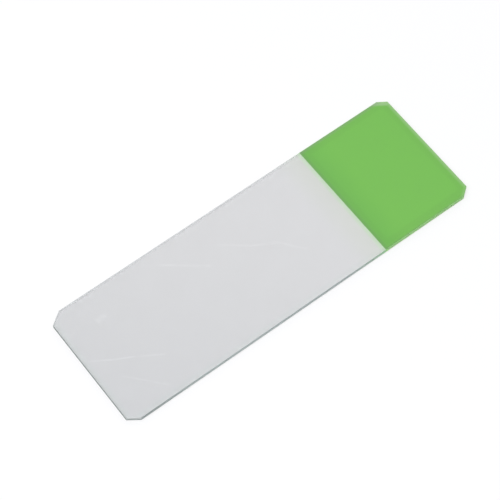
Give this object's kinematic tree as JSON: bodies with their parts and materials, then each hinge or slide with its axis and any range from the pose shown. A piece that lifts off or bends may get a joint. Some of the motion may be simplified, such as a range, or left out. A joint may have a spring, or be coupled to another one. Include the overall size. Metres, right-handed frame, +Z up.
{
  "type": "microscope slide",
  "caption": "Clear glass microscope slide, lying flat, with clipped corners, cut edges and a green printed marking field at the end of its top face.",
  "frame": {"origin": "centre of the underside, where the slide lies on a stage or a bench", "axes": "+X along the length to the printed end, +Y across the width to the far long edge, +Z up through the thickness, out of the printed top face"},
  "size_m": [0.075, 0.025, 0.001],
  "materials": {
    "clear_glass": "polished faces, cut edges",
    "green_ink": "satin printed ink, cured"
  },
  "bodies": {
    "root": {"glass_slide": "clear_glass", "marking_area": "green_ink"}
  },
  "joints": []
}
